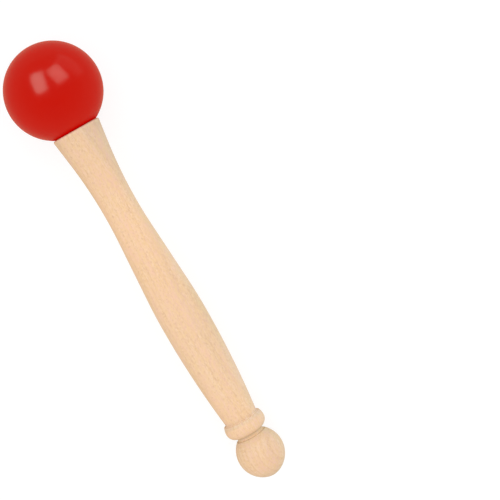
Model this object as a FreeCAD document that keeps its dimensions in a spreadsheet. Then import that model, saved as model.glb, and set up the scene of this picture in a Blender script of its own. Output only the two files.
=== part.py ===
# Singing bowl mallet: a solid red rubber ball glued into the dished end of a turned beech handle,
# on a fluted dowel pin. All sizes are in millimetres.
#
# The mallet lies at rest on a flat surface, which only the ball and the knob touch. +X runs along
# it from the ball to the knob, and +Z is up. The origin is on the surface, under the middle of the
# mallet's bounding box.

import FreeCAD, Part
import math
import os
import Sketcher

SIZES = {
    # Striking ball, and the dished seat that it is glued into
    "ball_diameter": 50.0,
    "seat_diameter": 23.2,
    "glue_gap": 0.1,
    # Handle: stations are distances from its rim, along its axis
    "handle_length": 202.8,
    "rim_diameter": 25.7,
    "rim_rounding": 0.9,
    "waist_station": 44.9,
    "waist_diameter": 18.1,
    "belly_station": 111.1,
    "belly_diameter": 24.4,
    # Share of the way from waist to rim that is hollow, before the flare runs straight
    "flare_hollow_share": 0.7,
    # Shares of the way from waist to belly that curve in to and out of the straight swell
    "swell_in_share": 0.23,
    "swell_out_share": 0.27,
    "taper_end_diameter": 17.5,
    # Bead: it starts with a square shoulder, rises slowly to its widest place and falls away fast
    "shoulder_diameter": 20.3,
    "bead_rise_run": 3.7,
    "bead_diameter": 21.9,
    "bead_fall_radius": 4.45,
    # Neck, straight between the bead and the foot of the knob
    "neck_diameter": 14.2,
    "neck_width": 1.8,
    "knob_foot_diameter": 16.4,
    # Knob: its reach runs from its widest place to the flat where it was parted off
    "knob_diameter": 24.9,
    "knob_reach": 13.5,
    "parting_flat_diameter": 4.0,
    # Dowel pin, half in the ball and half in the handle, with room for glue past each end
    "dowel_diameter": 10.0,
    "dowel_length": 40.0,
    "dowel_chamfer": 1.0,
    "flute_count": 20,
    "flute_radius": 0.4,
    "bore_room": 1.0,
    "drill_point_angle": 118.0,
    # How far a cutting profile runs out past what it cuts
    "overrun": 2.0,
}

# Places that several pieces share, as expressions on the sheet
BALL_RADIUS = "sizes.ball_diameter / 2"
BORE_DIAMETER = "sizes.dowel_diameter + 2 * sizes.glue_gap"
BORE_DEPTH = "sizes.dowel_length / 2 + sizes.bore_room"
SEAT_RADIUS = "(sizes.ball_diameter / 2 + sizes.glue_gap)"
RIM_FROM_BALL = f"sqrt({SEAT_RADIUS} ^ 2 - (sizes.seat_diameter / 2) ^ 2)"
SEAT_DEPTH = f"({SEAT_RADIUS} - {RIM_FROM_BALL})"
KNOB_FROM_BALL = f"({RIM_FROM_BALL} + sizes.handle_length - sizes.knob_reach)"
TILT = f"asin((sizes.ball_diameter - sizes.knob_diameter) / 2 / {KNOB_FROM_BALL})"

# Sketcher's numbers for the points of an element, for the axes and for the origin point
START, END, CENTRE = range(1, 4)
H_AXIS_INDEX, V_AXIS_INDEX = -1, -2
ORIGIN = (H_AXIS_INDEX, START)

FULL_TURN = 360


def flat(along, across):
    """A point of a sketch."""
    return FreeCAD.Vector(along, across, 0)


def arc(centre, first, second):
    """The arc about a centre that runs anticlockwise from the first point to the second."""
    circle = Part.Circle(centre, FreeCAD.Vector(0, 0, 1), centre.distanceToPoint(first))
    turns = [math.atan2(point.y - centre.y, point.x - centre.x) for point in (first, second)]
    return Part.ArcOfCircle(circle, *turns)


def crown(centre, left, right):
    """An arc that stands out from the wood: its left end is its END point."""
    return arc(centre, right, left), END, START


def hollow(centre, left, right):
    """An arc cut into the wood, with its centre outside: its left end is its START point."""
    return arc(centre, left, right), START, END


def straight(left, right):
    """A straight element from left to right."""
    return Part.LineSegment(left, right), START, END


def new_sketch(body, name, role):
    """A sketch attached to one of the body's own origin planes."""
    sketch = body.newObject("Sketcher::SketchObject", name)
    plane = next(feature for feature in body.Origin.OriginFeatures if feature.Role == role)
    sketch.AttachmentSupport = [(plane, "")]
    sketch.MapMode = "FlatFace"
    return sketch


def tie(sketch, kind, *where):
    """Add a constraint that has no size, such as Tangent or Vertical."""
    sketch.addConstraint(Sketcher.Constraint(kind, *where))


def size(sketch, kind, *where, by):
    """Add a constraint whose size is an expression on the sheet."""
    value = float(sketch.evalExpression(by))
    number = sketch.addConstraint(Sketcher.Constraint(kind, *where, value))
    sketch.setExpression(f"Constraints[{number}]", by)


def bind(thing, **properties):
    """Bind properties of an object to expressions on the sheet."""
    for name, expression in properties.items():
        thing.setExpression(name.replace("__", "."), expression)


def new_body(doc, name, from_ball):
    """A body that lies on the mallet's axis, with its own origin at a distance from the ball's centre.

    The axis runs down towards the knob, because the ball is thicker than the knob.
    """
    body = doc.addObject("PartDesign::Body", name)
    body.Label = name
    sideways = FreeCAD.Vector(0, 1, 0)
    body.Placement.Rotation = FreeCAD.Rotation(sideways, body.evalExpression(TILT).Value)
    axis_end = f"({RIM_FROM_BALL} + sizes.handle_length) * cos({TILT})"
    end = f"({axis_end} + sizes.parting_flat_diameter / 2 * sin({TILT}))"
    bind(
        body,
        Placement__Rotation__Angle=TILT,
        Placement__Base__x=f"({BALL_RADIUS} - {end}) / 2 + {from_ball} * cos({TILT})",
        Placement__Base__z=f"{BALL_RADIUS} - {from_ball} * sin({TILT})",
    )
    return body


def drill(doc, body, start, reversed_way, depth):
    """Drill the blind bore for the dowel pin along the body's axis, from a plane across it."""
    sketch = new_sketch(body, f"{body.Name}_bore_circle", "YZ_Plane")
    bind(sketch, AttachmentOffset__Base__z=start)
    radius = float(sketch.evalExpression(BORE_DIAMETER)) / 2
    circle = sketch.addGeometry(Part.Circle(flat(0, 0), FreeCAD.Vector(0, 0, 1), radius))
    tie(sketch, "Coincident", circle, CENTRE, *ORIGIN)
    size(sketch, "Diameter", circle, by=BORE_DIAMETER)
    doc.recompute()
    hole = body.newObject("PartDesign::Hole", f"{body.Name}_bore")
    hole.Profile = sketch
    hole.DepthType = "Dimension"
    hole.DrillPoint = "Angled"
    hole.Reversed = reversed_way
    bind(hole, Diameter=BORE_DIAMETER, Depth=depth, DrillPointAngle="sizes.drill_point_angle")
    doc.recompute()


def revolve(body, kind, name, sketch):
    """Turn a sketch once round the body's axis, to add wood or rubber or to cut it away."""
    feature = body.newObject(f"PartDesign::{kind}", name)
    feature.Profile = sketch
    feature.ReferenceAxis = (sketch, ["H_Axis"])
    feature.Angle = FULL_TURN
    return feature


def make_striking_ball(doc):
    """The rubber ball, with its own origin at its centre and its bore towards the handle."""
    body = new_body(doc, "striking_ball", "0")
    sketch = new_sketch(body, "ball_section", "XY_Plane")
    radius = SIZES["ball_diameter"] / 2
    rear, front = flat(-radius, 0), flat(radius, 0)
    dome = sketch.addGeometry(arc(flat(0, 0), front, rear))
    axis = sketch.addGeometry(Part.LineSegment(rear, front))
    tie(sketch, "Coincident", dome, CENTRE, *ORIGIN)
    tie(sketch, "Coincident", dome, END, axis, START)
    tie(sketch, "Coincident", dome, START, axis, END)
    tie(sketch, "PointOnObject", axis, START, H_AXIS_INDEX)
    tie(sketch, "PointOnObject", axis, END, H_AXIS_INDEX)
    size(sketch, "Radius", dome, by=BALL_RADIUS)
    revolve(body, "Revolution", "ball", sketch)
    doc.recompute()
    drill(doc, body, BALL_RADIUS, False, BORE_DEPTH)
    return body


def handle_elements():
    """The handle's outline from rim to knob, worked out from the sizes and closed along the axis.

    Each element is a line, a crown or a hollow, so neighbours meet right end to left end.
    """
    rounding = SIZES["rim_rounding"]
    rim = flat(rounding, SIZES["rim_diameter"] / 2 - rounding)
    rim_top = flat(0, rim.y)
    waist = flat(SIZES["waist_station"], SIZES["waist_diameter"] / 2)
    belly = flat(SIZES["belly_station"], SIZES["belly_diameter"] / 2)

    # From rim to waist: the rounding, a straight and a hollow, all tangent. The slope is a first guess
    run = SIZES["flare_hollow_share"] * waist.x
    slope = math.atan((rim.y + rounding - waist.y) / (waist.x - run / 2))
    flare_start = rim + flat(rounding * math.sin(slope), rounding * math.cos(slope))
    waist_start = waist + flat(-run, run * math.tan(slope / 2))
    waist_centre = waist + flat(0, run / math.sin(slope))

    # From waist to belly: a hollow, a straight and a crown, all tangent. The slope is a first guess
    length, rise = belly.x - waist.x, belly.y - waist.y
    run_in, run_out = SIZES["swell_in_share"] * length, SIZES["swell_out_share"] * length
    slope = math.atan(rise / (length - (run_in + run_out) / 2))
    swell_in = waist + flat(run_in, run_in * math.tan(slope / 2))
    swell_out = belly - flat(run_out, run_out * math.tan(slope / 2))
    swell_in_centre = waist + flat(0, run_in / math.sin(slope))
    swell_out_centre = belly - flat(0, run_out / math.sin(slope))

    # The knob is one crown through its widest place and the edge of the parting flat
    crest = flat(SIZES["handle_length"] - SIZES["knob_reach"], SIZES["knob_diameter"] / 2)
    flat_edge = flat(SIZES["handle_length"], SIZES["parting_flat_diameter"] / 2)
    fall = crest.y - flat_edge.y
    knob_radius = (SIZES["knob_reach"] ** 2 + fall ** 2) / (2 * fall)
    knob_centre = crest - flat(0, knob_radius)

    # The neck and the bead are set out backwards from the knob
    foot, neck = SIZES["knob_foot_diameter"] / 2, SIZES["neck_diameter"] / 2
    knob_start = flat(crest.x - math.sqrt(knob_radius ** 2 - (foot - knob_centre.y) ** 2), foot)
    neck_end = flat(knob_start.x, neck)
    neck_start = neck_end - flat(SIZES["neck_width"], 0)
    fall_radius = SIZES["bead_fall_radius"]
    fall_height = SIZES["bead_diameter"] / 2 - fall_radius
    fall_run = math.sqrt(fall_radius ** 2 - (neck - fall_height) ** 2)
    fall_centre = flat(neck_start.x - fall_run, fall_height)
    bead_top = fall_centre + flat(0, fall_radius)
    shoulder = flat(bead_top.x - SIZES["bead_rise_run"], SIZES["shoulder_diameter"] / 2)
    run, rise = bead_top.x - shoulder.x, bead_top.y - shoulder.y
    rise_centre = bead_top - flat(0, (run ** 2 + rise ** 2) / (2 * rise))

    # The taper is one crown from the belly to the foot of the bead's shoulder
    taper_end = flat(shoulder.x, SIZES["taper_end_diameter"] / 2)
    run, drop = taper_end.x - belly.x, belly.y - taper_end.y
    taper_centre = belly - flat(0, (run ** 2 + drop ** 2) / (2 * drop))

    tail = flat(flat_edge.x, 0)
    elements = {
        "rim_face": straight(flat(0, 0), rim_top),
        "rim_rounding": crown(rim, rim_top, flare_start),
        "flare": straight(flare_start, waist_start),
        "waist_hollow": hollow(waist_centre, waist_start, waist),
        "swell_in": hollow(swell_in_centre, waist, swell_in),
        "swell": straight(swell_in, swell_out),
        "swell_out": crown(swell_out_centre, swell_out, belly),
        "taper": crown(taper_centre, belly, taper_end),
        "shoulder": straight(taper_end, shoulder),
        "bead_rise": crown(rise_centre, shoulder, bead_top),
        "bead_fall": crown(fall_centre, bead_top, neck_start),
        "neck": straight(neck_start, neck_end),
        "knob_foot": straight(neck_end, knob_start),
        "knob": crown(knob_centre, knob_start, flat_edge),
        "parting_flat": straight(flat_edge, tail),
        "axis": straight(tail, flat(0, 0)),
    }
    return elements, crest


def draw_handle_outline(sketch):
    """Draw the outline and hold it with constraints on the sheet's sizes."""
    elements, crest = handle_elements()
    number, left, right = {}, {}, {}
    for name, (shape, left_end, right_end) in elements.items():
        number[name] = sketch.addGeometry(shape)
        left[name] = (number[name], left_end)
        right[name] = (number[name], right_end)
    smooth = {"rim_rounding", "flare", "waist_hollow", "swell_in", "swell", "swell_out"}
    smooth |= {"taper", "bead_fall"}
    names = list(elements)
    for name, following in zip(names, names[1:] + names[:1]):
        joint = "Tangent" if following in smooth else "Coincident"
        tie(sketch, joint, *right[name], *left[following])

    tie(sketch, "Coincident", *left["rim_face"], *ORIGIN)
    tie(sketch, "Vertical", number["rim_face"])
    size(sketch, "Radius", number["rim_rounding"], by="sizes.rim_rounding")
    rim_centre = (number["rim_rounding"], CENTRE)
    size(sketch, "DistanceY", *ORIGIN, *rim_centre, by="sizes.rim_diameter / 2 - sizes.rim_rounding")

    waist = right["waist_hollow"]
    size(sketch, "DistanceX", *ORIGIN, *waist, by="sizes.waist_station")
    size(sketch, "DistanceY", *ORIGIN, *waist, by="sizes.waist_diameter / 2")
    tie(sketch, "Vertical", number["waist_hollow"], CENTRE, *waist)
    hollow_run = "sizes.flare_hollow_share * sizes.waist_station"
    size(sketch, "DistanceX", *left["waist_hollow"], *waist, by=hollow_run)
    size(sketch, "DistanceX", *ORIGIN, *right["swell_out"], by="sizes.belly_station")
    size(sketch, "DistanceY", *ORIGIN, *right["swell_out"], by="sizes.belly_diameter / 2")
    tie(sketch, "Vertical", number["taper"], CENTRE, *left["taper"])
    length = "(sizes.belly_station - sizes.waist_station)"
    size(sketch, "DistanceX", *waist, *left["swell"], by=f"sizes.swell_in_share * {length}")
    size(sketch, "DistanceX", *right["swell"], *right["swell_out"], by=f"sizes.swell_out_share * {length}")

    bead_top = right["bead_rise"]
    size(sketch, "DistanceY", *ORIGIN, *left["shoulder"], by="sizes.taper_end_diameter / 2")
    tie(sketch, "Vertical", number["shoulder"])
    size(sketch, "DistanceY", *ORIGIN, *left["bead_rise"], by="sizes.shoulder_diameter / 2")
    size(sketch, "DistanceX", *left["bead_rise"], *bead_top, by="sizes.bead_rise_run")
    size(sketch, "DistanceY", *ORIGIN, *bead_top, by="sizes.bead_diameter / 2")
    tie(sketch, "Vertical", number["bead_rise"], CENTRE, *bead_top)
    size(sketch, "Radius", number["bead_fall"], by="sizes.bead_fall_radius")
    size(sketch, "DistanceY", *ORIGIN, *left["neck"], by="sizes.neck_diameter / 2")
    tie(sketch, "Horizontal", number["neck"])
    size(sketch, "DistanceX", *left["neck"], *right["neck"], by="sizes.neck_width")
    tie(sketch, "Vertical", number["knob_foot"])
    size(sketch, "DistanceY", *ORIGIN, *left["knob"], by="sizes.knob_foot_diameter / 2")

    widest = sketch.addGeometry(Part.Point(crest), True)
    tie(sketch, "PointOnObject", widest, START, number["knob"])
    tie(sketch, "Vertical", number["knob"], CENTRE, widest, START)
    size(sketch, "DistanceX", widest, START, *right["knob"], by="sizes.knob_reach")
    size(sketch, "DistanceY", *ORIGIN, widest, START, by="sizes.knob_diameter / 2")
    size(sketch, "DistanceY", *ORIGIN, *right["knob"], by="sizes.parting_flat_diameter / 2")
    size(sketch, "DistanceX", *ORIGIN, *right["knob"], by="sizes.handle_length")
    tie(sketch, "Vertical", number["parting_flat"])
    tie(sketch, "Horizontal", number["axis"])


def draw_seat(sketch):
    """Draw the section of the seat: a part of the ball's own circle, wider by the glue's thickness."""
    radius = SIZES["ball_diameter"] / 2 + SIZES["glue_gap"]
    mouth = flat(0, SIZES["seat_diameter"] / 2)
    centre = flat(-math.sqrt(radius ** 2 - mouth.y ** 2), 0)
    deepest = centre + flat(radius, 0)
    back = flat(-SIZES["overrun"], 0)
    outer = flat(back.x, math.sqrt(radius ** 2 - (back.x - centre.x) ** 2))
    dome = sketch.addGeometry(arc(centre, deepest, outer))
    side = sketch.addGeometry(Part.LineSegment(outer, back))
    axis = sketch.addGeometry(Part.LineSegment(back, deepest))
    rim = sketch.addGeometry(Part.Point(mouth), True)
    tie(sketch, "Coincident", dome, END, side, START)
    tie(sketch, "Coincident", side, END, axis, START)
    tie(sketch, "Coincident", axis, END, dome, START)
    tie(sketch, "PointOnObject", axis, START, H_AXIS_INDEX)
    tie(sketch, "PointOnObject", axis, END, H_AXIS_INDEX)
    tie(sketch, "PointOnObject", dome, CENTRE, H_AXIS_INDEX)
    tie(sketch, "Vertical", side)
    tie(sketch, "PointOnObject", rim, START, V_AXIS_INDEX)
    tie(sketch, "PointOnObject", rim, START, dome)
    size(sketch, "Radius", dome, by=SEAT_RADIUS)
    size(sketch, "DistanceX", *(axis, START), *ORIGIN, by="sizes.overrun")
    size(sketch, "DistanceY", *ORIGIN, rim, START, by="sizes.seat_diameter / 2")


def make_turned_handle(doc):
    """The beech handle, turned in one piece, with its own origin at the middle of its rim."""
    body = new_body(doc, "turned_handle", RIM_FROM_BALL)
    outline = new_sketch(body, "turned_outline", "XY_Plane")
    draw_handle_outline(outline)
    revolve(body, "Revolution", "turning", outline)
    doc.recompute()
    section = new_sketch(body, "seat_section", "XY_Plane")
    draw_seat(section)
    revolve(body, "Groove", "dished_seat", section)
    doc.recompute()
    drill(doc, body, "0", True, f"{SEAT_DEPTH} + {BORE_DEPTH}")
    return body


def make_dowel_pin(doc):
    """The fluted dowel pin, with its own origin at its middle, where the ball meets its seat."""
    body = new_body(doc, "dowel_pin", BALL_RADIUS)
    section = new_sketch(body, "dowel_circle", "YZ_Plane")
    radius = SIZES["dowel_diameter"] / 2
    circle = section.addGeometry(Part.Circle(flat(0, 0), FreeCAD.Vector(0, 0, 1), radius))
    tie(section, "Coincident", circle, CENTRE, *ORIGIN)
    size(section, "Diameter", circle, by="sizes.dowel_diameter")
    pin = body.newObject("PartDesign::Pad", "pin")
    pin.Profile = section
    pin.SideType = "Symmetric"
    bind(pin, Length="sizes.dowel_length")
    doc.recompute()

    rims = [f"Edge{n}" for n, edge in enumerate(pin.Shape.Edges, 1) if isinstance(edge.Curve, Part.Circle)]
    chamfer = body.newObject("PartDesign::Chamfer", "lead_in")
    chamfer.Base = (pin, rims)
    bind(chamfer, Size="sizes.dowel_chamfer")
    doc.recompute()

    groove = new_sketch(body, "flute_circle", "YZ_Plane")
    flute = groove.addGeometry(Part.Circle(flat(0, radius), FreeCAD.Vector(0, 0, 1), SIZES["flute_radius"]))
    tie(groove, "PointOnObject", flute, CENTRE, V_AXIS_INDEX)
    size(groove, "DistanceY", *ORIGIN, flute, CENTRE, by="sizes.dowel_diameter / 2")
    size(groove, "Radius", flute, by="sizes.flute_radius")
    first = body.newObject("PartDesign::Pocket", "flute")
    first.Profile = groove
    first.SideType = "Symmetric"
    bind(first, Length="sizes.dowel_length + sizes.overrun")
    doc.recompute()
    flutes = body.newObject("PartDesign::PolarPattern", "flutes")
    flutes.Originals = [first]
    flutes.Axis = (groove, ["N_Axis"])
    flutes.Angle = FULL_TURN
    bind(flutes, Occurrences="sizes.flute_count")
    body.Tip = flutes
    doc.recompute()
    return body


def check(doc, bodies):
    """Stop on a failed object, an unsound or split solid, and a cut that takes nothing away."""
    for thing in doc.Objects:
        if {"Invalid", "Error"} & set(thing.State):
            raise RuntimeError(f"{thing.Name} failed: {thing.State}")
        base = getattr(thing, "BaseFeature", None)
        if base and thing.TypeId != "PartDesign::Body" and not thing.Shape.Volume < base.Shape.Volume:
            raise RuntimeError(f"{thing.Name} takes nothing away")
    for body in bodies:
        if body.Shape.isNull() or not body.Shape.isValid() or len(body.Shape.Solids) != 1:
            raise RuntimeError(f"{body.Label} is not one sound solid")
        for sketch in body.Group:
            if sketch.TypeId == "Sketcher::SketchObject" and not sketch.FullyConstrained:
                raise RuntimeError(f"{sketch.Name} is not fully constrained")


doc = FreeCAD.newDocument("singing_bowl_mallet")
sheet = doc.addObject("Spreadsheet::Sheet", "sizes")
for row, (alias, value) in enumerate(SIZES.items(), start=1):
    sheet.set(f"A{row}", alias)
    sheet.set(f"B{row}", str(value))
    sheet.setAlias(f"B{row}", alias)
doc.recompute()

bodies = [make_striking_ball(doc), make_turned_handle(doc), make_dowel_pin(doc)]
doc.recompute()
check(doc, bodies)

os.makedirs("parts", exist_ok=True)
for body in bodies:
    body.Shape.exportStep(f"parts/{body.Label}.step")
    box = body.Shape.optimalBoundingBox()
    print(f"{body.Label}: {body.Shape.Volume:.0f} mm3, x {box.XMin:.2f} to {box.XMax:.2f}, "
          f"y {box.YMin:.2f} to {box.YMax:.2f}, z {box.ZMin:.2f} to {box.ZMax:.2f}")
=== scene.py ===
# Singing bowl mallet: a red rubber ball on a turned beech handle, lying at rest.
# Lengths are in metres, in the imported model's frame: +X runs from the ball to the knob, +Z is up.

import math

import bpy
import numpy as np
from mathutils import Matrix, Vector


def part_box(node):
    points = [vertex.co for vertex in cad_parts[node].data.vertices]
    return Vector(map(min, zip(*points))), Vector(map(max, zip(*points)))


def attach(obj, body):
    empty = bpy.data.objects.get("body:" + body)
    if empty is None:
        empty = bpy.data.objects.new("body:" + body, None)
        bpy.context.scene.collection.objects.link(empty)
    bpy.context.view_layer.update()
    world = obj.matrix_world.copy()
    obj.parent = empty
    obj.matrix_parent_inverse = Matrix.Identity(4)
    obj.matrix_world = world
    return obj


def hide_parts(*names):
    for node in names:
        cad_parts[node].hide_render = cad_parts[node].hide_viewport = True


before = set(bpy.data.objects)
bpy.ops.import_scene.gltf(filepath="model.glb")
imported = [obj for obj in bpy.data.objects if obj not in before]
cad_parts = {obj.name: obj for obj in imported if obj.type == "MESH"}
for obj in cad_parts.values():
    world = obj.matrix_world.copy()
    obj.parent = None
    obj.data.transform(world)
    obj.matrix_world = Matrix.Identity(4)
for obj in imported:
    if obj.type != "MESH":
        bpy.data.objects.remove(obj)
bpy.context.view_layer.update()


# Striking ball
# A solid ball of moulded red rubber with a smooth skin. It is bored towards the handle, pushed onto
# the dowel pin and glued down into the dished seat at the handle's wide end.

ball_radius = 0.025
knob_radius = 0.01245
knob_from_ball = 0.2115587
bore_radius = 0.0051
ball_bore_depth = 0.021
drill_point_half_angle = math.radians(59)
drill_point_length = bore_radius / math.tan(drill_point_half_angle)
edge_softness = 0.00004
rubber_red = (0.590, 0.0044, 0.0001, 1)
rubber_red_worn = (0.614, 0.0064, 0.0006, 1)
# Painted shade on the ring beside the seat: its colour, and where it sets in and is full, along the
# axis from the ball's centre
rubber_red_painted_shade = (0.575, 0.0010, 0.0001, 1)
shade_ring_from = 0.0196
shade_ring_to = 0.0212
rubber_ior = 1.5
gloss = 0.19
gloss_tint = (0.35, 1.0, 0.87, 1)
gloss_blur = (0.15, 0.23)
skin_height = 0.000004
bloom = (1.0, 0.10, 0.04, 1)
bloom_weight = 0.70
bloom_blur = 0.25

# Waves to the metre
cloud_waves = 70
handling_waves = 420
skin_waves = 1400

# The mallet lies on its ball and its knob, so its axis dips towards the knob
tilt = math.asin((ball_radius - knob_radius) / knob_from_ball)
ball_centre = np.array([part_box("striking_ball")[0].x + ball_radius, 0, ball_radius])


def bend(centre, start, end, count=90):
    """Points on a circle: the start's offset from the centre is turned by equal steps, the short way
    round, until it points at the end."""
    offset = np.subtract(start, centre)
    goal = np.subtract(end, centre)
    first = math.atan2(offset[1], offset[0])
    turn = (math.atan2(goal[1], goal[0]) - first + math.pi) % math.tau - math.pi
    angles = first + turn * np.linspace(0, 1, count)
    radius = math.hypot(*offset)
    return np.add(centre, radius * np.stack([np.cos(angles), np.sin(angles)], 1))


def sanded(outline, softness, row_length=0.0013, row_turn=math.radians(5)):
    """An outline with its corners rubbed round. It is walked in steps of a quarter of the softness,
    and each point becomes the mean of its neighbours, weighted by a bell curve one softness wide and
    cut off at four. Past its two ends the outline goes on as its own mirror image, which keeps them on
    the axis. The rows kept are those at which the way walked and the turns made grow by equal
    amounts."""
    fineness, reach = 4, 16
    walked = np.insert(np.cumsum(np.hypot(*np.diff(outline, axis=0).T)), 0, 0)
    steps = np.linspace(0, walked[-1], int(fineness * walked[-1] / softness))
    points = np.stack([np.interp(steps, walked, column) for column in np.transpose(outline)], 1)
    bell = np.exp(-0.5 * (np.arange(-reach, reach + 1) / fineness) ** 2)
    before, after = points[reach:0:-1] * (1, -1), points[-2:-2 - reach:-1] * (1, -1)
    padded = np.concatenate([before, points, after])
    points = np.stack([np.convolve(column, bell / bell.sum(), "valid") for column in padded.T], 1)
    sides = np.diff(points, axis=0)
    turns = np.abs(np.diff(np.unwrap(np.arctan2(sides[:, 1], sides[:, 0])), prepend=0))
    turns[0] = 0
    effort = np.insert(np.cumsum(np.hypot(*sides.T) / row_length + turns / row_turn), 0, 0)
    rows = np.linspace(0, effort[-1], int(effort[-1]))
    return np.stack([np.interp(rows, effort, column) for column in points.T], 1)


def laid_down(points):
    """Points measured from the ball's centre along the mallet's axis, sideways and up, put where
    the mallet lies: they turn about Y by the tilt and then move with the ball's centre."""
    along, sideways, up = np.transpose(points)
    x = along * math.cos(tilt) + up * math.sin(tilt)
    z = up * math.cos(tilt) - along * math.sin(tilt)
    return np.stack([x, sideways, z], 1) + ball_centre


def turned(name, outline, around=192):
    """A closed surface of revolution: the outline's point at station s and radius r goes to
    (s, r cos a, r sin a) for equal angles a, and its two ends are single points on the axis."""
    angles = np.arange(around) * math.tau / around
    station, radius = outline[1:-1, 0, None], outline[1:-1, 1, None]
    grid = np.stack(np.broadcast_arrays(station, radius * np.cos(angles), radius * np.sin(angles)), -1)
    ends = np.array([[outline[0, 0], 0, 0], [outline[-1, 0], 0, 0]])
    points = laid_down(np.vstack([grid.reshape(-1, 3), ends]))
    number = np.arange(len(grid) * around).reshape(len(grid), around)
    beside = np.roll(number, -1, axis=1)
    quads = np.stack([number[:-1], beside[:-1], beside[1:], number[1:]], -1).reshape(-1, 4)
    first, last = number.size, number.size + 1
    front = np.stack([beside[0], number[0], np.full(around, first)], -1)
    back = np.stack([number[-1], beside[-1], np.full(around, last)], -1)
    mesh = bpy.data.meshes.new(name)
    mesh.from_pydata(points.tolist(), [], quads.tolist() + front.tolist() + back.tolist())
    mesh.shade_smooth()
    piece = bpy.data.objects.new(name, mesh)
    bpy.context.scene.collection.objects.link(piece)
    return piece


def add(tree, kind, inputs, output=0, **settings):
    """A node with its settings and with values or other nodes' outputs on its inputs. It returns
    one of its outputs."""
    node = tree.nodes.new("ShaderNode" + kind)
    for name, value in settings.items():
        setattr(node, name, value)
    for name, value in inputs.items():
        if isinstance(value, bpy.types.NodeSocket):
            tree.links.new(value, node.inputs[name])
        else:
            node.inputs[name].default_value = value
    return node.outputs[output]


def blend_colours(tree, amount, first, second, blend_type="MIX"):
    """The first colour where the amount is 0 and the second where it is 1. A Mix node takes its
    colours on the inputs 6 and 7 and gives the result on output 2."""
    inputs = {"Factor": amount, 6: first, 7: second}
    return add(tree, "Mix", inputs, 2, data_type="RGBA", blend_type=blend_type)


def spread(tree, value, low, high):
    """A value from 0 to 1 stretched to run from low to high."""
    return add(tree, "MapRange", {"Value": value, "To Min": low, "To Max": high})


def ramp(tree, value, start, end, most=1.0):
    """Nothing up to the start, then evenly up to the most at the end, and level from there. The start
    may be the larger of the two."""
    inputs = {"Value": value, "From Min": start, "From Max": end, "To Max": most}
    return add(tree, "MapRange", inputs)


def new_material(name):
    """A material with its Principled surface ready, and the place on the piece in metres."""
    material = bpy.data.materials.new(name)
    material.use_nodes = True
    tree = material.node_tree
    return material, tree, tree.nodes["Principled BSDF"], add(tree, "TexCoord", {}, "Object")


def red_rubber():
    """Glossy red rubber: broad faint clouds in the colour, finer ones in the gloss, and a skin that
    is never quite flat. A thin bloom greys it where it is seen at a slant. The ring beside the seat,
    where the ball meets the handle, is painted shade: deeper in colour and without gloss."""
    material, tree, surface, place = new_material("red_rubber")
    clouds = add(tree, "TexNoise", {"Vector": place, "Scale": cloud_waves, "Detail": 3})
    handling = add(tree, "TexNoise", {"Vector": place, "Scale": handling_waves, "Detail": 4})
    skin = add(tree, "TexNoise", {"Vector": place, "Scale": skin_waves, "Detail": 2})
    colour = blend_colours(tree, clouds, rubber_red, rubber_red_worn)
    from_centre = add(tree, "VectorMath", {0: place, 1: ball_centre}, operation="SUBTRACT")
    axis = (math.cos(tilt), 0, -math.sin(tilt))
    along = add(tree, "VectorMath", {0: from_centre, 1: axis}, "Value", operation="DOT_PRODUCT")
    # Painted shade: the ring beside the seat turns deeper red and loses its gloss
    painted_shade_ring = ramp(tree, along, shade_ring_from, shade_ring_to)
    colour = blend_colours(tree, painted_shade_ring, colour, rubber_red_painted_shade)
    tree.links.new(colour, surface.inputs["Base Color"])
    tree.links.new(spread(tree, painted_shade_ring, gloss, 0.0), surface.inputs["Specular IOR Level"])
    tree.links.new(spread(tree, handling, *gloss_blur), surface.inputs["Roughness"])
    bump = add(tree, "Bump", {"Height": skin, "Strength": 1, "Distance": skin_height})
    tree.links.new(bump, surface.inputs["Normal"])
    surface.inputs["IOR"].default_value = rubber_ior
    surface.inputs["Specular Tint"].default_value = gloss_tint
    surface.inputs["Sheen Weight"].default_value = bloom_weight
    surface.inputs["Sheen Roughness"].default_value = bloom_blur
    surface.inputs["Sheen Tint"].default_value = bloom
    return material


ball_bore_end = ball_radius - ball_bore_depth
ball_bore_mouth = math.sqrt(ball_radius ** 2 - bore_radius ** 2)
ball_outline = np.vstack([
    bend((0, 0), (-ball_radius, 0), (0, ball_radius)),
    bend((0, 0), (0, ball_radius), (ball_bore_mouth, bore_radius)),
    [(ball_bore_end, bore_radius), (ball_bore_end - drill_point_length, 0)],
])
striking_ball = turned("rubber_ball", sanded(ball_outline, edge_softness))
striking_ball.data.materials.append(red_rubber())
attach(striking_ball, "root")
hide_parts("striking_ball")


# Turned handle
# One piece of pale steamed beech, turned between centres and fine-sanded: a dished seat and rim, a
# flare down to the waist, a belly to hold, a taper, a bead, and a knob parted off at its end.

glue_gap = 0.00002
seat_mouth_radius = 0.0116
handle_length = 0.2028
rim_radius = 0.01285
rim_rounding = 0.0009
waist_station = 0.0449
waist_radius = 0.00905
belly_station = 0.1111
belly_radius = 0.0122
flare_hollow_share = 0.7
swell_in_share = 0.23
swell_out_share = 0.27
taper_end_radius = 0.00875
shoulder_radius = 0.01015
bead_rise_run = 0.0037
bead_radius = 0.01095
bead_fall_radius = 0.00445
neck_radius = 0.0071
neck_width = 0.0018
knob_foot_radius = 0.0082
knob_reach = 0.0135
parting_flat_radius = 0.002
fillet = 0.0005

seat_radius = ball_radius + glue_gap
rim_from_ball = math.sqrt(seat_radius ** 2 - seat_mouth_radius ** 2)


def slope_of(climb, height):
    """The slope at which a line climbs by the wanted height. Its climb is worked out for a fan of
    slopes from level to half a radian, and the slope is read off between them."""
    fan = np.linspace(0, 0.5, 5001)
    return float(np.interp(height, climb(fan), fan))


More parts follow.
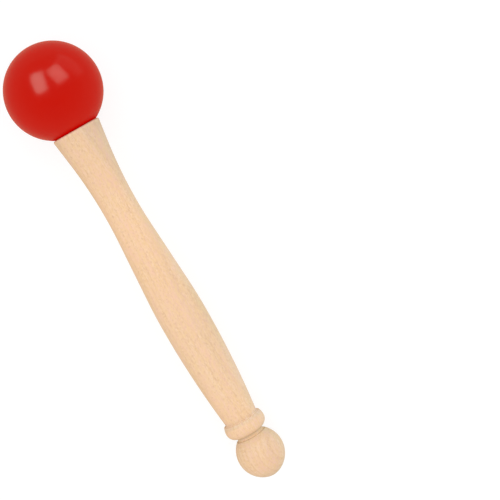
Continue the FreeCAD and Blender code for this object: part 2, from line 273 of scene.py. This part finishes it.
def handle_outline():
    """The handle's outline from the bottom of its bore, out over the seat and the rim, and along to
    the middle of the parting flat. Stations are from the rim. Every stretch is a straight or an arc
    that runs smoothly into its neighbour, so that its centre follows from the sizes. A small fillet
    rounds the inner corner at the shoulder and the one at the knob's foot."""
    seat_depth = seat_radius - rim_from_ball
    bore_end = seat_depth + ball_bore_depth
    seat_centre = (-rim_from_ball, 0)
    bore_mouth = (math.sqrt(seat_radius ** 2 - bore_radius ** 2) - rim_from_ball, bore_radius)
    rim = (rim_rounding, rim_radius - rim_rounding)

    hollow_run = flare_hollow_share * waist_station
    straight_run = waist_station - hollow_run - rim_rounding
    slope = slope_of(lambda fan: hollow_run * np.tan(fan / 2) - rim_rounding * np.cos(fan)
                     + (straight_run - rim_rounding * np.sin(fan)) * np.tan(fan), rim[1] - waist_radius)
    flare_start = (rim[0] + rim_rounding * math.sin(slope), rim[1] + rim_rounding * math.cos(slope))
    hollow_start = (waist_station - hollow_run, waist_radius + hollow_run * math.tan(slope / 2))
    waist = (waist_station, waist_radius)
    flare_centre = (waist_station, waist_radius + hollow_run / math.sin(slope))

    length = belly_station - waist_station
    run_in, run_out = swell_in_share * length, swell_out_share * length
    slope = slope_of(lambda fan: (run_in + run_out) * np.tan(fan / 2)
                     + (length - run_in - run_out) * np.tan(fan), belly_radius - waist_radius)
    swell_in = (waist_station + run_in, waist_radius + run_in * math.tan(slope / 2))
    swell_out = (belly_station - run_out, belly_radius - run_out * math.tan(slope / 2))
    swell_in_centre = (waist_station, waist_radius + run_in / math.sin(slope))
    swell_out_centre = (belly_station, belly_radius - run_out / math.sin(slope))
    belly = (belly_station, belly_radius)

    knob_fall = knob_radius - parting_flat_radius
    knob_arc_radius = (knob_reach ** 2 + knob_fall ** 2) / (2 * knob_fall)
    knob_centre = (handle_length - knob_reach, knob_radius - knob_arc_radius)
    knob_start_run = math.sqrt(knob_arc_radius ** 2 - (knob_foot_radius - knob_centre[1]) ** 2)
    knob_start = (knob_centre[0] - knob_start_run, knob_foot_radius)
    neck_end = (knob_start[0], neck_radius)
    neck_start = (neck_end[0] - neck_width, neck_radius)

    fall_height = bead_radius - bead_fall_radius
    fall_run = math.sqrt(bead_fall_radius ** 2 - (neck_radius - fall_height) ** 2)
    fall_centre = (neck_start[0] - fall_run, fall_height)
    bead_top = (fall_centre[0], bead_radius)
    shoulder = (bead_top[0] - bead_rise_run, shoulder_radius)
    bead_rise = bead_radius - shoulder_radius
    rise_arc_radius = (bead_rise_run ** 2 + bead_rise ** 2) / (2 * bead_rise)
    rise_centre = (bead_top[0], bead_radius - rise_arc_radius)

    taper_end = (shoulder[0], taper_end_radius)
    taper_run, taper_fall = taper_end[0] - belly_station, belly_radius - taper_end_radius
    taper_arc_radius = (taper_run ** 2 + taper_fall ** 2) / (2 * taper_fall)
    taper_centre = (belly_station, belly_radius - taper_arc_radius)

    flat_edge = (handle_length, parting_flat_radius)
    return np.vstack([
        [(bore_end + drill_point_length, 0), (bore_end, bore_radius)],
        bend(seat_centre, bore_mouth, (0, seat_mouth_radius)),
        bend(rim, (0, rim[1]), flare_start),
        bend(flare_centre, hollow_start, waist),
        bend(swell_in_centre, waist, swell_in),
        bend(swell_out_centre, swell_out, belly),
        bend(taper_centre, belly, taper_end)[:-3],
        bend((taper_end[0] - fillet, taper_end[1] + fillet), (taper_end[0] - fillet, taper_end[1]),
             (taper_end[0], taper_end[1] + fillet), 12),
        bend(rise_centre, shoulder, bead_top),
        bend(fall_centre, bead_top, neck_start),
        bend((neck_end[0] - fillet, neck_end[1] + fillet), (neck_end[0] - fillet, neck_end[1]),
             (neck_end[0], neck_end[1] + fillet), 12),
        bend(knob_centre, knob_start, flat_edge),
        [(handle_length, 0)],
    ])


beech_light = (0.975, 0.676, 0.446, 1)
beech_dark = (0.830, 0.520, 0.300, 1)
beech_pink = (0.955, 0.600, 0.430, 1)
beech_honey = (0.930, 0.620, 0.330, 1)
ray_brown = (0.66, 0.38, 0.21, 1)
pressed_brown = (0.68, 0.43, 0.24, 1)
outer_grey_tone = (0.865, 0.935, 1.060, 1)
inner_dull_tone = (0.940, 0.950, 0.945, 1)
pale_streak_tone = (0.975, 1.07, 1.12, 1)

# Distances out from the pith and along from the rim in metres, and angles round the pith, each from
# where a zone sets in to where it is full. The knob's rings also have their strength.
outer_years = (0.0645, 0.0667)
inner_years = (0.0555, 0.0510)
grey_fades = 0.055
streak_angle = 0.39
streak_edge = (0.11, 0.04)
knob_rings = (0.176, 0.184, 0.12)
ring_width = 0.0026
ring_wander = 0.0012

# Waves to the metre along the grain, out from the pith and round it, and the noise's own detail
wander_waves = (7, 25, 40)
fibre_waves = (600, 1500, 1500, 4.0, 0.65)
line_waves = (9, 700, 2400, 1.0)
strand_waves = (35, 420, 420, 3.0)
year_waves = (4, 130, 14, 1.0)
patch_waves = (14, 45, 60, 2.0)
pink_waves = (60, 240, 240, 3.0)
honey_waves = (420, 1300, 1300, 2.0)
ray_waves = (520, 190, 2400)

# One year's depth of colour: at places from its start to its end, where it meets the next year, and
# the usual depth, about which the knob's rings swing
ring_depths = ((0.10, 0.2), (0.60, 0.45), (0.88, 0.9), (0.94, 1.0))
ring_seam = 0.3
ring_middle = 0.45

# The noise at which a layer sets in and is full, and how strong it then is
shade_ramp = (0.700, 0.880)
pink_ramp = (0.40, 0.68, 0.8)
honey_ramp = (0.38, 0.62, 0.8)
ray_ramp = (0.34, 0.14)
ray_depth = 0.22

# Shares of the fine lines left inside the outer years, of grey in the outer years far from the rim
# and at it, and of grey that the whole rim gets besides
lines_inside = 0.25
outer_grey = 0.25
outer_grey_at_rim = 0.60
rim_grey = 0.4

beech_roughness = (0.60, 0.72)
beech_ior = 1.45
beech_gloss = 0.38
grain_height = 0.00002
grain_strength = 0.5


def tinted(tree, amount, colour, tone):
    """The colour where the amount is 0, and the colour times the tone where it is 1."""
    return blend_colours(tree, amount, colour, tone, "MULTIPLY")


def beech(name, place, turn, pith, darkness):
    """Steamed beech as a solid texture. In the piece's own frame x follows the grain. The pith is a
    line beside the piece: each point has its way along the grain, its distance out from the pith and
    its way round it, and every layer of the wood is drawn in these three.
    Years: rings that darken outwards and end sharply, some years darker than others. They show most
    in the knob. The outer years and the rim are greyer, the inner years duller.
    Fibres, strands and fine lines: noise drawn out along the grain, the lines in the outer years.
    Clouds, pink patches and honey flecks: noise in waves of three sizes, each with its own colour.
    Paler streak: it lies at one angle round the pith and fades out on both sides.
    Rays: thin leaves that reach outwards, so they cut the skin in short brown dashes.
    Last, the colour grows by the mesh's own attribute of tones and painted shading times itself,
    which is how tones that follow the turned shape get on: painted shade in its corners, painted light
    and a painted highlight on some edges, and the wood's own tones along it. A mesh without that
    attribute stays as it is."""
    material, tree, surface, object_place = new_material(name)
    mapping = {"Vector": object_place, "Location": place, "Rotation": turn}
    own = add(tree, "Mapping", mapping, vector_type="TEXTURE")
    from_pith = add(tree, "VectorMath", {0: own, 1: pith}, operation="SUBTRACT")
    split = add(tree, "SeparateXYZ", {0: from_pith}).node.outputs
    level = add(tree, "VectorMath", {0: from_pith, 1: (0, 1, 1)}, operation="MULTIPLY")
    outward = add(tree, "VectorMath", {0: level}, "Value", operation="LENGTH")
    angle = add(tree, "Math", {0: split["Z"], 1: split["Y"]}, operation="ARCTAN2")
    round_it = add(tree, "Math", {0: angle, 1: math.hypot(*pith)}, operation="MULTIPLY")
    cut = add(tree, "CombineXYZ", {"X": split["X"], "Y": outward, "Z": round_it})

    def layer(along, out, around, detail=2.0, roughness=0.5):
        """Noise with so many waves to the metre along the grain, out from the pith and round it."""
        waves = add(tree, "VectorMath", {0: cut, 1: (along, out, around)}, operation="MULTIPLY")
        return add(tree, "TexNoise", {"Vector": waves, "Scale": 1, "Detail": detail,
                                      "Roughness": roughness})

    wander = spread(tree, layer(*wander_waves), -ring_wander, ring_wander)
    ring_place = add(tree, "Math", {0: outward, 1: wander})
    ring_count = add(tree, "Math", {0: ring_place, 1: 1 / ring_width}, operation="MULTIPLY")
    ring = add(tree, "ValToRGB", {"Fac": add(tree, "Math", {0: ring_count}, operation="FRACT")})
    stops = ring.node.color_ramp.elements
    stops[0].color = (ring_seam, ring_seam, ring_seam, 1)
    stops[1].color = (ring_seam, ring_seam, ring_seam, 1)
    for position, depth in ring_depths:
        stops.new(position).color = (depth, depth, depth, 1)

    fibres = layer(*fibre_waves)
    lines = layer(*line_waves)
    strands = layer(*strand_waves)
    years = layer(*year_waves)
    clouds = layer(*patch_waves)
    outer = ramp(tree, outward, *outer_years)
    line_share = spread(tree, outer, lines_inside, 1.0)
    fine_lines = add(tree, "Math", {0: lines, 1: line_share}, operation="MULTIPLY")
    shade = 0.0
    shares = ((fibres, 0.80), (strands, 0.05), (years, 0.24), (ring, 0.13), (clouds, 0.36),
              (fine_lines, 0.07))
    for source, share in shares:
        shade = add(tree, "Math", {0: source, 1: share, 2: shade}, operation="MULTIPLY_ADD")
    ring_swing = add(tree, "Math", {0: ring, 1: ring_middle}, operation="SUBTRACT")
    in_knob = ramp(tree, split["X"], *knob_rings)
    shade = add(tree, "Math", {0: ring_swing, 1: in_knob, 2: shade}, operation="MULTIPLY_ADD")
    shade = ramp(tree, shade, *shade_ramp)
    colour = blend_colours(tree, shade, beech_light, beech_dark)
    blush = ramp(tree, layer(*pink_waves), *pink_ramp)
    colour = blend_colours(tree, blush, colour, beech_pink)
    flecks = ramp(tree, layer(*honey_waves), *honey_ramp)
    colour = blend_colours(tree, flecks, colour, beech_honey)

    near_rim = ramp(tree, split["X"], grey_fades, 0.0)
    outer_share = spread(tree, near_rim, outer_grey, outer_grey_at_rim)
    grey = add(tree, "Math", {0: outer, 1: outer_share}, operation="MULTIPLY")
    grey = add(tree, "Math", {0: near_rim, 1: rim_grey, 2: grey}, operation="MULTIPLY_ADD")
    colour = tinted(tree, grey, colour, outer_grey_tone)
    colour = tinted(tree, ramp(tree, outward, *inner_years), colour, inner_dull_tone)

    aside = add(tree, "Math", {0: angle, 1: streak_angle}, operation="SUBTRACT")
    aside = add(tree, "Math", {0: aside}, operation="ABSOLUTE")
    colour = tinted(tree, ramp(tree, aside, *streak_edge), colour, pale_streak_tone)

    leaves = add(tree, "VectorMath", {0: cut, 1: ray_waves}, operation="MULTIPLY")
    cell = add(tree, "TexVoronoi", {"Vector": leaves, "Scale": 1, "Randomness": 1}, "Distance")
    ray = ramp(tree, cell, *ray_ramp)
    ray_strength = add(tree, "Math", {0: ray, 1: ray_depth}, operation="MULTIPLY")
    colour = blend_colours(tree, ray_strength, colour, ray_brown)

    colour = blend_colours(tree, darkness, colour, pressed_brown)
    change = add(tree, "Attribute", {}, "Vector", attribute_name="tone_and_painted_shading")
    colour = add(tree, "VectorMath", {0: change, 1: colour, 2: colour}, operation="MULTIPLY_ADD")
    tree.links.new(colour, surface.inputs["Base Color"])

    tree.links.new(spread(tree, shade, *beech_roughness), surface.inputs["Roughness"])
    height = add(tree, "Math", {0: fibres, 1: ray}, operation="SUBTRACT")
    grain = {"Height": height, "Strength": grain_strength, "Distance": grain_height}
    tree.links.new(add(tree, "Bump", grain), surface.inputs["Normal"])
    surface.inputs["IOR"].default_value = beech_ior
    surface.inputs["Specular IOR Level"].default_value = beech_gloss
    return material


outline = sanded(handle_outline() + (rim_from_ball, 0), edge_softness)
turned_handle = turned("beech_handle", outline)
slopes = np.gradient(outline[1:-1], axis=0)
facing = -slopes[:, 1] / np.hypot(slopes[:, 0], slopes[:, 1])
facing_knob, facing_ball = np.clip(facing, 0, 1), np.clip(-facing, 0, 1)
station = outline[1:-1, 0] - rim_from_ball


def near(place, reach):
    """1 at a station, falling to nothing on both sides as a bell curve with this reach."""
    return np.exp(-((station - place) / reach) ** 2)


shoulder_station = 0.16936
bead_station = 0.17306
neck_station = 0.17750
# Tones along the handle: painted shade, painted light, a painted highlight on the rim, and the wood's
# own tones
painted_shade_tone = (0.78, 0.87, 0.89)
knob_tone = (0.955, 0.955, 0.970)
shoulder_painted_light_tone = (0.95, 1.02, 1.14)
rim_painted_highlight_tone = (1.08, 1.14, 1.22)
neck_painted_light_tone = (1.04, 1.11, 1.12)
flare_tone = (0.99, 0.98, 0.955)
belly_tone = (0.99, 1.015, 1.055)
end_grain_tone = (0.90, 0.86, 0.80)

# Painted shade darkens and greys the turned corners at the neck and the shoulder, the faces beyond
# the bead that turn towards the knob, away from the light, and the knob's foot where the bead shades
# it, and the knob is duller. Painted light makes the wood paler and greyer beside the shoulder and
# just beyond the neck, and a painted highlight makes the rim's rounding paler. The end grain in the
# seat is darker, and the flare is a little warmer than the belly. Each row of the mesh gets the
# product of these tones, less one.
on_knob = station > neck_station
painted_shade = near(neck_station, 0.0007) + 0.35 * near(shoulder_station + 0.0009, 0.0008)
painted_shade = np.maximum(painted_shade, (station > bead_station) * facing_knob ** 3)
painted_shade = np.maximum(painted_shade, on_knob * facing_ball ** 2 * 0.65)
shares = [(painted_shade, painted_shade_tone), (on_knob, knob_tone), (station < 0, end_grain_tone),
          (near(0.014, 0.028), flare_tone), (near(0.130, 0.040), belly_tone),
          (near(shoulder_station - 0.0004, 0.0010), shoulder_painted_light_tone),
          (near(0.0004, 0.0007), rim_painted_highlight_tone), (near(neck_station + 0.0015, 0.0010), neck_painted_light_tone)]
tone_and_painted_shading = np.ones((len(station), 3))
for share, tone in shares:
    tone_and_painted_shading *= 1 + share[:, None] * (np.array(tone) - 1)
tone_and_painted_shading -= 1
around = (len(turned_handle.data.vertices) - 2) // len(station)
tone_and_painted_shading = np.vstack([np.repeat(tone_and_painted_shading, around, axis=0), tone_and_painted_shading[0], tone_and_painted_shading[-1]])
# The attribute carries the wood's own tones together with the painted shade, painted light and painted
# highlight
attribute = turned_handle.data.attributes.new("tone_and_painted_shading", "FLOAT_VECTOR", "POINT")
attribute.data.foreach_set("vector", tone_and_painted_shading.ravel())

rim_place = laid_down([(rim_from_ball, 0, 0)])[0]
handle_turn = (0, tilt, 0)
pith = (0, -0.052, -0.024)
turned_handle.data.materials.append(beech("turned_beech", rim_place, handle_turn, pith, 0.0))
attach(turned_handle, "root")
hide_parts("turned_handle")


# Dowel pin
# A fluted beech dowel, half in the ball and half in the handle, sealed inside by the glue. The
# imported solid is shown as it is, with beech that compression has darkened a little.

pin_place = laid_down([(ball_radius, 0, 0)])[0]
pin_pith = (0, 0.024, -0.031)
dowel_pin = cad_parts["dowel_pin"]
dowel_pin.data.materials.clear()
dowel_pin.data.materials.append(beech("pressed_beech", pin_place, handle_turn, pin_pith, 0.2))


# Table
# A wide matt white surface under the mallet. To the camera it shines a little by itself, so that it
# comes out white and still keeps the mallet's soft shadow, and in reflections it is dimmer.

table_half_width = 4.0
table_drop = 0.00005
table_white = (0.94, 0.94, 0.94, 1)
table_mirrored = (0.51, 0.45, 0.34, 1)
table_shadowed = (0.26, 0.26, 0.26, 1)
table_glow = 0.80

corners = [(-1, -1), (1, -1), (1, 1), (-1, 1)]
mesh = bpy.data.meshes.new("table")
mesh.from_pydata([(table_half_width * x, table_half_width * y, -table_drop) for x, y in corners], [],
                 [(0, 1, 2, 3)])
table = bpy.data.objects.new("table", mesh)
bpy.context.scene.collection.objects.link(table)
paper = bpy.data.materials.new("white_table")
paper.use_nodes = True
tree = paper.node_tree
tree.nodes.clear()
by_gloss = add(tree, "LightPath", {}, "Is Glossy Ray")
by_camera = add(tree, "LightPath", {}, "Is Camera Ray")
matt = add(tree, "BsdfDiffuse", {"Color": blend_colours(tree, by_gloss, table_white, table_mirrored)})
shadowed = add(tree, "BsdfDiffuse", {"Color": table_shadowed})
glow = add(tree, "Emission", {"Color": (1, 1, 1, 1), "Strength": table_glow})
seen = add(tree, "AddShader", {0: shadowed, 1: glow})
mixed = add(tree, "MixShader", {"Fac": by_camera, 1: matt, 2: seen})
output = tree.nodes.new("ShaderNodeOutputMaterial")
tree.links.new(mixed, output.inputs["Surface"])
mesh.materials.append(paper)


# Studio light
# The mallet lies in a tent of plain white light, dim and warm in reflections. Two soft boxes above
# the ball's end, one on each side, and a pale screen low beside it only show in what is glossy.

box_distance = 1.2
mirrored_low = 0.51
mirrored_tint = (1.15, 1.0, 0.75, 1)
mirrored_ends = 0.85
room_strength = 1.0

# Name, direction from the ball, direction of the long side, length, width, radiance
soft_boxes = [
    ("soft_box_left", (-0.454, -0.277, 0.847), (0.889, -0.202, 0.411), 1.01, 0.61, 6.0),
    ("soft_box_right", (-0.405, 0.491, 0.771), (0.909, 0.304, 0.285), 0.85, 0.68, 4.6),
    ("pale_screen", (-0.451, 0.868, 0.208), (0.888, 0.461, 0.0), 1.12, 0.67, 0.60),
]
for name, direction, long_side, box_length, box_width, radiance in soft_boxes:
    away = np.array(direction) / np.linalg.norm(direction)
    length_way = np.array(long_side) - np.dot(long_side, away) * away
    length_way /= np.linalg.norm(length_way)
    width_way = np.cross(away, length_way)
    light = bpy.data.lights.new(name, "AREA")
    light.shape = "RECTANGLE"
    light.size, light.size_y = box_length, box_width
    # An area light's radiance is its energy over four times its area
    light.energy = 4 * box_length * box_width * radiance
    lamp = bpy.data.objects.new(name, light)
    lamp.visible_diffuse = False
    bpy.context.scene.collection.objects.link(lamp)
    place = ball_centre + box_distance * away
    columns = np.stack([length_way, width_way, away, place], 1)
    lamp.matrix_world = Matrix([*columns.tolist(), (0, 0, 0, 1)])

world = bpy.data.worlds.new("studio")
bpy.context.scene.world = world
world.use_nodes = True
tree = world.node_tree
tree.nodes.clear()
upward = add(tree, "SeparateXYZ", {0: add(tree, "TexCoord", {}, "Generated")}, "Z")
mirrored = ramp(tree, upward, mirrored_ends, 0.0, mirrored_low)
by_gloss = add(tree, "LightPath", {}, "Is Glossy Ray")
strength = add(tree, "Mix", {"Factor": by_gloss, "A": room_strength, "B": mirrored})
tint = blend_colours(tree, by_gloss, (1, 1, 1, 1), mirrored_tint)
background = add(tree, "Background", {"Color": tint, "Strength": strength})
output = tree.nodes.new("ShaderNodeOutputWorld")
tree.links.new(background, output.inputs["Surface"])
bpy.context.scene.view_settings.view_transform = "Standard"


# Camera
# It hangs above the ball's end of the handle and leans a little towards the knob, rolled so that
# the mallet runs from the upper left to the lower right.

camera_place = (-0.025264, 0.046286, 0.850)
camera_lean = math.radians(2.984)
camera_roll = math.radians(60.4835)
camera_lens = 118.292

camera_data = bpy.data.cameras.new("camera")
camera_data.lens = camera_lens
camera = bpy.data.objects.new("camera", camera_data)
lean = Matrix.Rotation(-camera_lean, 4, "Y")
camera.matrix_world = Matrix.Translation(camera_place) @ lean @ Matrix.Rotation(camera_roll, 4, "Z")
bpy.context.scene.collection.objects.link(camera)
bpy.context.scene.camera = camera
